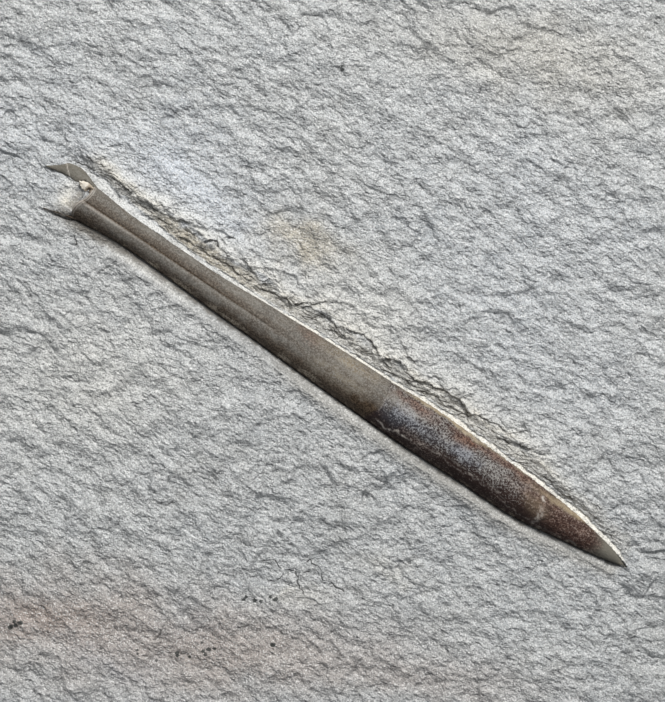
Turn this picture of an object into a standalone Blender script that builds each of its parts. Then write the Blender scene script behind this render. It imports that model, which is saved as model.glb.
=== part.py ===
"""A belemnite lying in the small limestone slab that it was split out of.

Two pieces: the slab, with the prepared trough that the fossil lies in and the sediment that plugs its
open front end; and the calcite guard, with the two spurs of broken alveolar wall at that end.
Row frame: +Z up, origin under the middle of the slab. The guard's own frame has +X along its axis to
the apex, its origin at the middle of the alveolar rim, and +Z up.
"""

import math

import bmesh
import bpy
import numpy as np

MM = 0.001

# The slab: a broken plate of bedded limestone, flat below.
SLAB_THICKNESS = 22 * MM
SLAB_CORNERS = np.array([
    (-82, -64), (-70, -78), (-50, -80), (-44, -76), (-12, -80), (5, -77), (12, -82), (36, -80), (43, -76),
    (63, -77), (77, -65), (78, -47), (85, -42), (82, -6), (78, 1), (80, 30), (85.5, 38), (81, 64), (70, 76),
    (50, 78), (43, 82), (8, 79), (0, 75.5), (-31, 77), (-39, 81.5), (-62, 79), (-77, 70), (-80, 49), (-86, 41),
    (-83, 9), (-78.5, 1), (-80, -29), (-85, -37),
]) * MM
SIDE_PITCH = 6.4 * MM
# Each bed of the broken side: height above the base, and how far its edge stands out of the plan.
SIDE_BEDS = np.array([
    (0, -2.2), (1.5, -0.6), (7.0, 0.6), (7.5, -0.8), (10.5, -1.3), (16.4, 0.9), (17.0, -0.2), (19.5, -0.4),
    (30, -0.4),
]) * MM
SIDE_ROUGHNESS = 1.3 * MM
# Waves of the split bedding surface: wavelength and height.
BEDDING_WAVES = ((46 * MM, 0.6 * MM), (17 * MM, 0.5 * MM), (9 * MM, 0.3 * MM))
# Thin laminae end in low ledges on the split surface.
LAMINA_HEIGHT = 0.42 * MM
LAMINA_FIELD = 34 * MM
LAMINAE = 5

# The guard: radius at each distance from the rim, spindle-shaped with a narrow neck.
GUARD_LENGTH = 131 * MM
GUARD_RADIUS = np.array([
    (0, 3.83), (5, 3.32), (11, 2.98), (18, 2.93), (26, 3.2), (36, 3.6), (50, 4.08), (64, 4.5), (74, 4.78),
    (82, 5.07), (90, 4.95), (100, 4.6), (109, 3.92), (117, 2.92), (123, 1.95), (128, 0.95), (131, 0),
]) * MM
GUARD_FLATNESS = 0.95
RIM_CENTRE = (-49.9 * MM, 29.9 * MM)
HEADING = math.radians(-33.95)
# The axis lies just under the slab's top, and dips a little towards the apex.
AXIS_DEPTH_RIM = 0.5 * MM
AXIS_DEPTH_APEX = 0.3 * MM
RING_POINTS = 22
# The furrow along the guard's upper side, fading out before the widest place.
FURROW_DEPTH = 0.42 * MM
FURROW_HALF_WIDTH = 0.55 * MM
FURROW_END = 58 * MM
# The open alveolus: a blunt cone behind a thin rim. The rim stands forward on the right.
RIM_WALL = 0.55 * MM
RIM_SLANT = 0.45 * MM
ALVEOLUS_DEPTH = 5 * MM

# Spurs of alveolar wall: distance in front of the rim, inner and outer edge across, foot and crest height.
LEFT_SPUR = np.array([
    (1.4, 2.9, 3.6, -1.2, 0.9), (-0.6, 3.75, 4.2, -1.2, 0.7), (-2.6, 3.6, 4.9, -1.2, 0.3),
    (-4.4, 2.5, 5.3, -1.1, 0.35), (-6.8, 2.7, 4.8, -0.9, 0.35), (-8.6, 2.2, 3.2, -0.7, 0.2),
    (-10.2, 1.6, 1.8, -0.5, 0.05),
]) * MM
RIGHT_SPUR = np.array([
    (1.2, -2.8, -3.5, -1.4, 0.9), (-0.6, -3.75, -4.2, -1.3, 0.4), (-2.4, -4.2, -4.7, -1.2, 0.3),
    (-6.0, -5.3, -5.5, -0.6, 0.1),
]) * MM

# The sediment that plugs the alveolus: height over the trough, at distances along from the rim.
SEDIMENT_PROFILE = np.array([
    (-9, 0), (-6, 0.35), (-3.5, 0.8), (-1.6, 1.9), (-0.3, 3.0), (0.8, 3.3), (2.5, 2.4), (5, 0.8),
]) * MM
SEDIMENT_HALF_WIDTH = 3.3 * MM
SEDIMENT_CENTRE = -0.7 * MM
# A rounded lump on it, against the left spur.
LUMP_CENTRE = (-1.4 * MM, 2.2 * MM)
LUMP_RADIUS = 1.5 * MM
LUMP_HEIGHT = 1.1 * MM

# The prepared trough: heights against the bedding surface, at distances out from the guard's side.
LEFT_TROUGH = np.array([(0, -0.55), (0.6, -0.9), (1.3, -1.35), (2.2, -1.15), (3.3, -0.75)]) * MM
RIGHT_TROUGH = np.array([(0, -1.7), (0.5, -1.7), (1.6, -0.8), (2.4, -0.25), (3.4, 0)]) * MM
# The ledge where the chipped strip on the left ends: distance along the guard, and out from its axis.
CHIP_LEDGE = np.array([
    (-12, 7.0), (-3, 7.9), (8, 7.2), (18, 8.2), (30, 7.2), (41, 8.0), (44, 6.7), (52, 9.0), (58, 8.5), (62, 9.4),
    (66, 7.7), (71, 8.9), (76, 7.8), (84, 9.3), (92, 8.1), (99, 9.0), (108, 7.0), (118, 5.4), (128, 3.6), (136, 2.6),
]) * MM
TROUGH_ENDS = (-9 * MM, 132 * MM)
INNER_ROWS = np.array([0.3, 0.55, 0.8])
ROW_DISTANCES = np.array([0.3, 0.8, 1.5, 2.3, 3.3, 4.0, 4.6, 6.0, 8.0, 11.0, 14.5]) * MM
ROW_PITCH = 6.8 * MM
COLUMN_PITCH = 5.0 * MM
FRONT_COLUMNS = (-12 * MM, 4.5 * MM, 1.5 * MM)
BLOCK_REACH = (-52 * MM, 168 * MM, -108 * MM, 112 * MM)

# Free space kept between touching pieces.
GAP = 0.3 * MM

LIMESTONE = ("limestone", (0.50, 0.51, 0.51), 0.92)
CALCITE = ("grey_brown_calcite", (0.13, 0.11, 0.10), 0.45)


def smooth_curve(stations, x):
    """Cubic through the stations (first column x, second column value), with Catmull-Rom slopes."""
    knots, values = stations[:, 0], stations[:, 1]
    slopes = np.gradient(values, knots)
    x = np.clip(x, knots[0], knots[-1])
    i = np.clip(np.searchsorted(knots, x, side="right") - 1, 0, len(knots) - 2)
    span = knots[i + 1] - knots[i]
    t = (x - knots[i]) / span
    start = (2 * t**3 - 3 * t**2 + 1) * values[i] + (t**3 - 2 * t**2 + t) * span * slopes[i]
    end = (3 * t**2 - 2 * t**3) * values[i + 1] + (t**3 - t**2) * span * slopes[i + 1]
    return start + end


def ramp(low, high, x):
    """0 up to low, 1 from high on, and a smooth step between them."""
    t = np.clip((x - low) / (high - low), 0, 1)
    return t * t * (3 - 2 * t)


def lattice_noise(x, y, seed):
    """Smooth noise from about -1 to 1: a random slope at each whole-number point, blended between them."""
    column, row = np.floor(x), np.floor(y)
    across, along = x - column, y - row

    def corner(i, j):
        mixed = np.sin((column + i) * 127.1 + (row + j) * 311.7 + seed * 74.7) * 43758.5453
        turn = 2 * np.pi * (mixed - np.floor(mixed))
        return np.cos(turn) * (across - i) + np.sin(turn) * (along - j)

    u = across**3 * (across * (across * 6 - 15) + 10)
    v = along**3 * (along * (along * 6 - 15) + 10)
    near = corner(0, 0) * (1 - u) + corner(1, 0) * u
    far = corner(0, 1) * (1 - u) + corner(1, 1) * u
    return 1.5 * (near * (1 - v) + far * v)


def to_guard_frame(x, y):
    """Row-frame x and y as distances along and out from the guard's axis."""
    dx, dy = x - RIM_CENTRE[0], y - RIM_CENTRE[1]
    c, s = math.cos(HEADING), math.sin(HEADING)
    return dx * c + dy * s, dy * c - dx * s


def to_row_frame(along, out):
    c, s = math.cos(HEADING), math.sin(HEADING)
    return RIM_CENTRE[0] + along * c - out * s, RIM_CENTRE[1] + along * s + out * c


def guard_half_width(along):
    """The fossil's half width in plan, carried on at its rim and closed at its apex."""
    return np.where(along > GUARD_LENGTH, 0, smooth_curve(GUARD_RADIUS, along))


def bedding_height(x, y):
    """The split surface against its mean: long and short waves, and laminae that end in low ledges."""
    height = sum(
        size * lattice_noise(x / wave, y / wave, seed) for seed, (wave, size) in enumerate(BEDDING_WAVES, 1)
    )
    level = LAMINAE * 0.5 * (1 + lattice_noise(x / LAMINA_FIELD, y / LAMINA_FIELD, 9))
    stepped = np.floor(level) + ramp(0.86, 1.0, level - np.floor(level))
    return height + LAMINA_HEIGHT * (stepped - LAMINAE / 2)


def trough_height(along, out):
    """How far the prepared trough lies below the bedding surface, beside the guard."""
    distance = np.abs(out) - guard_half_width(along)
    left = np.interp(distance, LEFT_TROUGH[:, 0], LEFT_TROUGH[:, 1])
    ledge = smooth_curve(CHIP_LEDGE, along)
    left = left * (1 - ramp(-0.1 * MM, 0.35 * MM, out - ledge))
    right = np.interp(distance, RIGHT_TROUGH[:, 0], RIGHT_TROUGH[:, 1])
    start, end = TROUGH_ENDS
    inside = ramp(start - 5 * MM, start + 3 * MM, along) * (1 - ramp(end - 6 * MM, end + 3 * MM, along))
    return np.where(out > 0, left, right) * inside


def sediment_height(along, out):
    """The plug in the open front end: highest at the rim, sloping down between the spurs, with one lump."""
    across = np.clip((out - SEDIMENT_CENTRE) / SEDIMENT_HALF_WIDTH, -1, 1)
    plug = smooth_curve(SEDIMENT_PROFILE, along) * (1 - across**2) ** 0.7
    from_lump = np.hypot(along - LUMP_CENTRE[0], out - LUMP_CENTRE[1]) / LUMP_RADIUS
    lump = LUMP_HEIGHT * np.sqrt(np.clip(1 - from_lump**2, 0, 1))
    return plug + lump


def new_object(name, bm, finish, collection):
    """A mesh object from bm, with its normals outward and one material."""
    bmesh.ops.recalc_face_normals(bm, faces=bm.faces)
    mesh = bpy.data.meshes.new(name)
    bm.to_mesh(mesh)
    bm.free()
    if finish:
        material_name, colour, roughness = finish
        material = bpy.data.materials.get(material_name) or bpy.data.materials.new(material_name)
        material.use_nodes = True
        shader = material.node_tree.nodes["Principled BSDF"]
        shader.inputs["Base Color"].default_value = (*colour, 1)
        shader.inputs["Roughness"].default_value = roughness
        shader.inputs["Metallic"].default_value = 0
        mesh.materials.append(material)
    placed = bpy.data.objects.new(name, mesh)
    collection.objects.link(placed)
    return placed


def loft(rings, closed_start=True, closed_end=True):
    """A bmesh skin over rings of points, all with the same number of points."""
    bm = bmesh.new()
    loops = [[bm.verts.new(point) for point in ring] for ring in rings]
    count = len(loops[0])
    for near, far in zip(loops, loops[1:]):
        for k in range(count):
            bm.faces.new((near[k], near[(k + 1) % count], far[(k + 1) % count], far[k]))
    if closed_start:
        bm.faces.new(reversed(loops[0]))
    if closed_end:
        bm.faces.new(loops[-1])
    return bm


def combine(target, other, operation):
    """A Boolean of other on target, which leaves other as it is."""
    modifier = target.modifiers.new(operation.lower(), "BOOLEAN")
    modifier.operation = operation
    modifier.object = other
    modifier.solver = "EXACT"


def as_cutter(cutter):
    cutter.hide_render = True
    cutter.display_type = "WIRE"
    return cutter


def guard_ring(along, radius, furrow_share, slant_share=0.0):
    """One round section of the guard: regular points, with three close ones for the furrow on top."""
    step = 2 * math.pi / RING_POINTS
    lip = min(FURROW_HALF_WIDTH / radius, 0.7 * step)
    turns = [math.pi / 2 + k * step for k in range(1, RING_POINTS)]
    turns = [math.pi / 2, math.pi / 2 + lip, *turns, math.pi / 2 - lip]
    depths = [FURROW_DEPTH * furrow_share, *([0.0] * (len(turns) - 1))]
    points = []
    for turn, depth in zip(turns, depths):
        y = (radius - depth) * math.cos(turn)
        z = (radius - depth) * math.sin(turn) * GUARD_FLATNESS
        points.append((along + RIM_SLANT * slant_share * math.cos(turn), y, z))
    return points


def guard_body(grow):
    """The guard from its hollowed front to its apex. grow thickens it evenly, for the mould in the slab."""
    rings = []
    for share, wall in ((1.0, 3.0 * MM), (0.55, 1.9 * MM), (0.0, RIM_WALL)):
        hollow = GUARD_RADIUS[0, 1] - wall - grow
        rings.append(guard_ring(ALVEOLUS_DEPTH * share - grow, hollow, 0, 1 - share))
    if grow:
        rings.append(guard_ring(-grow, GUARD_RADIUS[0, 1] + grow, 0, 1))
    for along in (*np.arange(0, 105, 3.2), *np.arange(106, 130.6, 2.2)):
        radius = float(smooth_curve(GUARD_RADIUS, along * MM)) + grow
        furrow = 0 if grow else float(1 - ramp(FURROW_END * 0.45, FURROW_END, along * MM))
        rings.append(guard_ring(along * MM, radius, furrow, float(1 - ramp(0, 4 * MM, along * MM))))
    rings.append(guard_ring(GUARD_LENGTH + grow * 2, 0.06 * MM + grow * 0.3, 0))
    return loft(rings)


def spur(stations, grow):
    """A tapering blade of wall that runs forward from the rim, its crest on the outer side."""
    rings = []
    for k, (along, inner, outer, foot, crest) in enumerate(stations):
        side = math.copysign(1, outer)
        if grow:
            along += grow if k == 0 else 0
            along -= grow * 2 if k == len(stations) - 1 else 0
            inner, outer = inner - side * grow, outer + side * grow
            foot, crest = foot - grow, crest + grow
        low = foot * 0.4 + crest * 0.6
        rings.append([(along, inner, foot), (along, outer, foot), (along, outer, crest), (along, inner, low)])
    return loft(rings)


def place_in_slab(obj):
    """Puts a piece of the fossil on its axis in the slab's top."""
    obj.location = (*RIM_CENTRE, SLAB_THICKNESS - AXIS_DEPTH_RIM)
    dip = math.atan2(AXIS_DEPTH_RIM - AXIS_DEPTH_APEX, GUARD_LENGTH)
    obj.rotation_euler = (0, -dip, HEADING)


def bedding_block(collection):
    """A block whose top is the bedding surface with the trough in it. Its rows follow the guard's sides."""
    low_x, high_x, low_y, high_y = BLOCK_REACH
    front_start, front_end, front_pitch = FRONT_COLUMNS
    columns = np.concatenate([
        np.arange(front_start, low_x, -COLUMN_PITCH)[:0:-1],
        np.arange(front_start, front_end, front_pitch),
        np.arange(front_end, high_x, COLUMN_PITCH),
    ])
    left = np.append(ROW_DISTANCES, np.arange(ROW_DISTANCES[-1] + ROW_PITCH, high_y, ROW_PITCH))
    right = np.append(ROW_DISTANCES, np.arange(ROW_DISTANCES[-1] + ROW_PITCH, -low_y, ROW_PITCH))
    beside = np.concatenate([-right[::-1], np.zeros(2 * len(INNER_ROWS) + 1), left])
    share = np.concatenate([-np.ones(len(right)), -INNER_ROWS[::-1], [0], INNER_ROWS, np.ones(len(left))])
    along, beside = np.meshgrid(columns, beside, indexing="ij")
    out = beside + share * np.maximum(guard_half_width(along), 0.3 * MM)
    x, y = to_row_frame(along, out)
    z = SLAB_THICKNESS + bedding_height(x, y) + trough_height(along, out) + sediment_height(along, out)
    bm = bmesh.new()
    bmesh.ops.create_grid(bm, x_segments=len(share) - 1, y_segments=len(columns) - 1, size=1)
    bm.verts.ensure_lookup_table()
    for vert, point in zip(bm.verts, np.stack([x, y, z], -1).reshape(-1, 3)):
        vert.co = point
    rim = [edge for edge in bm.edges if edge.is_boundary]
    skirt = bmesh.ops.extrude_edge_only(bm, edges=rim)["geom"]
    for vert in (item for item in skirt if isinstance(item, bmesh.types.BMVert)):
        vert.co.z = -0.5 * SLAB_THICKNESS
    bmesh.ops.contextual_create(bm, geom=[edge for edge in bm.edges if edge.is_boundary])
    return new_object("matrix_slab", bm, LIMESTONE, collection)


def slab_sides(collection):
    """The broken outline of the slab as a prism: one ring of points for each bed, roughened by noise."""
    corners = np.vstack([SLAB_CORNERS, SLAB_CORNERS[:1]])
    steps = np.linalg.norm(np.diff(corners, axis=0), axis=1)
    walked = np.concatenate([[0], np.cumsum(steps)])
    places = np.linspace(0, walked[-1], round(walked[-1] / SIDE_PITCH), endpoint=False)
    plan = np.stack([np.interp(places, walked, corners[:, i]) for i in range(2)], -1)
    outward = plan / np.linalg.norm(plan, axis=1, keepdims=True)
    rings = []
    for bed, (height, stand) in enumerate(SIDE_BEDS):
        rough = SIDE_ROUGHNESS * lattice_noise(places / (9 * MM), np.full(len(places), bed * 0.8), 5)
        ring = plan + outward * (stand + rough)[:, None]
        rings.append(np.column_stack([ring, np.full(len(places), height)]))
    every = np.concatenate(rings)
    middle = (every.max(0) + every.min(0)) / 2
    middle[2] = 0
    return as_cutter(new_object("slab_outline", loft([ring - middle for ring in rings]), None, collection))


def main():
    for obj in list(bpy.data.objects):
        bpy.data.objects.remove(obj)
    parts = bpy.data.collections.new("belemnite_fossil")
    cutters = bpy.data.collections.new("cutters")
    for collection in (parts, cutters):
        bpy.context.scene.collection.children.link(collection)

    guard = new_object("guard", guard_body(0), CALCITE, parts)
    mould = as_cutter(new_object("guard_mould", guard_body(GAP), None, cutters))
    place_in_slab(guard)
    place_in_slab(mould)
    for name, stations in (("left_spur", LEFT_SPUR), ("right_spur", RIGHT_SPUR)):
        for whole, grow, suffix in ((guard, 0, ""), (mould, GAP, "_mould")):
            blade = as_cutter(new_object(name + suffix, spur(stations, grow), None, cutters))
            place_in_slab(blade)
            combine(whole, blade, "UNION")
    guard.data.shade_smooth()
    guard.data.set_sharp_from_angle(angle=math.radians(40))

    slab = bedding_block(parts)
    combine(slab, slab_sides(cutters), "INTERSECT")
    combine(slab, mould, "DIFFERENCE")


main()
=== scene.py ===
import math

import bpy
import numpy as np
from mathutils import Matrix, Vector


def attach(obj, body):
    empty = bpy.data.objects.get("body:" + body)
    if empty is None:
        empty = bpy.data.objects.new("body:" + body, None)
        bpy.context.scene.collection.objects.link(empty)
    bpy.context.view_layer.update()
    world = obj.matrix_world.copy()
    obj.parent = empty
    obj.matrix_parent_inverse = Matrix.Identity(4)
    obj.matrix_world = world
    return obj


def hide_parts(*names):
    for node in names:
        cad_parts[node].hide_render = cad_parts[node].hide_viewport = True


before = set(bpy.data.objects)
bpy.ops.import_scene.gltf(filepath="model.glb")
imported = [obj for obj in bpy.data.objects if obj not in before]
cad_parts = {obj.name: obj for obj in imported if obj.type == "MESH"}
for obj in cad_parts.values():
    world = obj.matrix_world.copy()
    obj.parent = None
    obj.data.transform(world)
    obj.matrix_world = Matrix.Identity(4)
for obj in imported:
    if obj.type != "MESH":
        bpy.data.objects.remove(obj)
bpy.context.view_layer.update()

# The slab: a split plate of pale grey bedded limestone, broken off by hand all round. Its uppermost bed
# carries the fossil. The bed's upper side follows the same waves and lamina ledges as the solid slab,
# with finer chips on them.
MM = 0.001
SLAB_TOP = 22.0
PARTING = 10.5
SLAB_CORNERS = np.array([
    (-82, -64), (-70, -78), (-50, -80), (-44, -76), (-12, -80), (5, -77), (12, -82), (36, -80), (43, -76),
    (63, -77), (77, -65), (78, -47), (85, -42), (82, -6), (78, 1), (80, 30), (85.5, 38), (81, 64),
    (70, 76), (50, 78), (43, 82), (8, 79), (0, 75.5), (-31, 77), (-39, 81.5), (-62, 79), (-77, 70),
    (-80, 49), (-86, 41), (-83, 9), (-78.5, 1), (-80, -29), (-85, -37),
])
SLAB_SHIFT = np.array([0.2, 0.0])
# Points of the slab's outline, and the radii that its noise and the noise of its sides are laid out on.
OUTLINE_STEPS = 1441
OUTLINE_RADIUS = 86.0
SIDE_RADIUS = 82.0
# The bedding's waves with their heights, and the pitches of its shingled chips with their drops.
BEDDING_WAVES = ((46, 0.6), (17, 0.5), (9, 0.3))
SHINGLES = ((8.5, 0.6), (4.4, 0.42), (2.6, 0.14))
AXIS_DEPTH = 0.85
GUARD_FLATNESS = 0.88
RIM_CENTRE = (-49.9, 29.9)
HEADING = math.radians(-33.95)
GUARD_LENGTH = 131.0
# Distances behind the guard's rim, with its left and its right edge there.
GUARD_EDGES = np.array([
    (-0.5, 4.05, -3.9), (1.5, 3.9, -3.7), (4.5, 3.65, -3.4), (8.5, 3.42, -3.02), (17.5, 3.32, -2.98),
    (25, 3.24, -3.24), (34.8, 3.36, -3.62), (44.8, 3.76, -3.82), (52.4, 4.12, -4.1), (62.2, 4.42, -4.4),
    (72.2, 4.68, -4.64), (79.5, 5.08, -4.76), (85.6, 5.12, -4.66), (92.2, 4.85, -4.46),
    (99.4, 4.6, -4.44), (104.4, 4.36, -4.38), (109.4, 4.06, -3.92), (114.4, 3.7, -3.12),
    (119.3, 3.08, -2.32), (124.3, 2.18, -1.48), (128.1, 1.3, -0.7), (131, 0.1, -0.05),
])


def smooth_curve(table, x, column=1):
    """Cubic with Catmull-Rom slopes through a table's column over its first, held level past both ends."""
    knots, values = table[:, 0], table[:, column]
    slopes = np.gradient(values, knots)
    x = np.clip(x, knots[0], knots[-1])
    i = np.clip(np.searchsorted(knots, x, side="right") - 1, 0, len(knots) - 2)
    span = knots[i + 1] - knots[i]
    t = (x - knots[i]) / span
    start = (2 * t**3 - 3 * t**2 + 1) * values[i] + (t**3 - 2 * t**2 + t) * span * slopes[i]
    return start + (3 * t**2 - 2 * t**3) * values[i + 1] + (t**3 - t**2) * span * slopes[i + 1]


def ramp(low, high, x):
    """0 up to low, 1 from high on, and a smooth step between them. It falls where low is above high."""
    t = np.clip((x - low) / (high - low), 0, 1)
    return t * t * (3 - 2 * t)


def bell(x, middle, width):
    """1 at the middle, falling off on both sides over the width as a bell curve does."""
    return np.exp(-(((x - middle) / width) ** 2))


def lattice_noise(x, y, seed):
    """Smooth noise from about -1 to 1: a random slope at each whole-number point, blended between them."""
    column, row = np.floor(x), np.floor(y)
    across, along = x - column, y - row

    def corner(i, j):
        mixed = np.sin((column + i) * 127.1 + (row + j) * 311.7 + seed * 74.7) * 43758.5453
        turn = 2 * np.pi * (mixed - np.floor(mixed))
        return np.cos(turn) * (across - i) + np.sin(turn) * (along - j)

    u = across**3 * (across * (across * 6 - 15) + 10)
    v = along**3 * (along * (along * 6 - 15) + 10)
    near = corner(0, 0) * (1 - u) + corner(1, 0) * u
    far = corner(0, 1) * (1 - u) + corner(1, 1) * u
    return 1.5 * (near * (1 - v) + far * v)


def rough(x, y, wavelength, octaves, gain, seed):
    """Lattice noise in octaves: each has half the wavelength and gain times the height of the last."""
    scales = [2**k / wavelength for k in range(octaves)]
    return sum(gain**k * lattice_noise(x * size, y * size, seed + k) for k, size in enumerate(scales))


def to_guard_frame(x, y):
    """Row-frame x and y as distances along and out from the guard's axis."""
    dx, dy = x - RIM_CENTRE[0], y - RIM_CENTRE[1]
    c, s = math.cos(HEADING), math.sin(HEADING)
    return dx * c + dy * s, dy * c - dx * s


def to_row_frame(along, out):
    """The reverse: distances along and out from the guard's axis as row-frame x and y."""
    c, s = math.cos(HEADING), math.sin(HEADING)
    return RIM_CENTRE[0] + along * c - out * s, RIM_CENTRE[1] + along * s + out * c


def guard_edge(along, column):
    """How far out the guard's left (1) or right (2) edge lies, carried on level in front of its rim."""
    return smooth_curve(GUARD_EDGES, along, column)


def along_line(x, y, line):
    """Signed distance to a broken line, positive on its right-hand side, and how far past its ends."""
    best = np.full(np.shape(x), np.inf)
    side = np.zeros(np.shape(x))
    past = np.zeros(np.shape(x))
    steps = list(zip(line, line[1:]))
    for k, ((x0, y0), (x1, y1)) in enumerate(steps):
        dx, dy = x1 - x0, y1 - y0
        share = ((x - x0) * dx + (y - y0) * dy) / (dx * dx + dy * dy)
        held = np.clip(share, 0, 1)
        off = np.hypot(x - x0 - held * dx, y - y0 - held * dy)
        cross = ((y - y0) * dx - (x - x0) * dy) / math.hypot(dx, dy)
        beyond = np.maximum(-share if k == 0 else 0, share - 1 if k == len(steps) - 1 else 0)
        nearer = off < best
        best = np.where(nearer, off, best)
        side = np.where(nearer, -np.sign(cross) * off, side)
        past = np.where(nearer, np.maximum(beyond, 0) * math.hypot(dx, dy), past)
    return side, past


def bedding_height(x, y):
    """The split surface against its mean: long waves, laminae ending in ragged ledges, shingled chips whose
    height creeps up and then drops over a short edge, and fine lumps."""
    height = np.zeros(np.shape(x))
    for k, (wave, size) in enumerate(BEDDING_WAVES, 1):
        height += size * lattice_noise(x / wave, y / wave, k)
    wobble = rough(x, y, 5.5, 3, 0.6, 40)
    level = 2.5 * (1 + lattice_noise(x / 34, y / 34, 9)) + 0.07 * wobble
    height += 0.36 * (np.floor(level) + ramp(0.9, 1.0, level - np.floor(level)) - 2.5)
    falling = -0.5 * x - 0.866 * y
    for k, (pitch, drop) in enumerate(SHINGLES):
        phase = falling / pitch + 1.1 * rough(x, y, pitch * 2.3, 3, 0.55, 50 + 5 * k)
        phase -= np.floor(phase)
        strength = np.clip(0.35 + 1.1 * lattice_noise(x / pitch / 2.2, y / pitch / 2.2, 70 + k), 0, 1.1)
        height += drop * strength * (phase - ramp(0.9, 0.99, phase) - 0.45)
    return height + 0.5 * rough(x, y, 5.0, 3, 0.62, 80)


# The strip of the top bed beside the fossil was dug and chipped away to free it. On its left, chips broke
# off in ragged ledges, and on its right the tool left one smooth slope. Cream rock still leans on the left
# flank, most of it near the rim. The tables run along the guard, in the guard's own frame.
FILLET = np.array([
    (-6, 1.3), (-3.5, 2.0), (1.5, 1.9), (5.5, 1.75), (8.5, 1.6), (13.5, 1.2), (17.5, 0.85), (23.5, 0.5),
    (32, 0.45), (60, 0.5), (72, 0.5), (84, 0.65), (92, 0.75), (104, 0.7), (114, 0.72), (122, 0.8),
    (129, 0.7), (133, 0.3),
])
PLUG_CREST = np.array([
    (-9, 0), (-6, 0.2), (-3.5, 0.45), (-1.6, 0.9), (-0.3, 1.6), (0.8, 1.9), (2.5, 1.6), (5, 0.8),
])
GROOVE_WIDTHS = np.array([(6, 1.65), (28, 1.5), (48, 1.1), (68, 1.12), (88, 1.0), (131, 1.0)])
# How dark the painted shade is in the tool's groove beside the guard's right flank, at distances along the
# guard.
GROOVE_SHADE = np.array([
    (14, 0.06), (30, 0.16), (42, 0.5), (56, 0.5), (62, 0.2), (74, 0.2), (80, 0.5), (96, 0.5), (102, 0.3),
    (131, 0.2),
])
CHIP_LEDGE = np.array([
    (-12, 7.0), (-3, 7.9), (8, 7.2), (18, 8.2), (30, 7.2), (41, 8.0), (44, 6.7), (52, 9.0), (58, 8.5),
    (62, 9.4), (66, 7.7), (71, 8.9), (76, 7.8), (84, 9.3), (92, 8.1), (99, 9.0), (108, 7.0), (118, 5.4),
    (128, 3.6), (136, 2.6),
])
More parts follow.
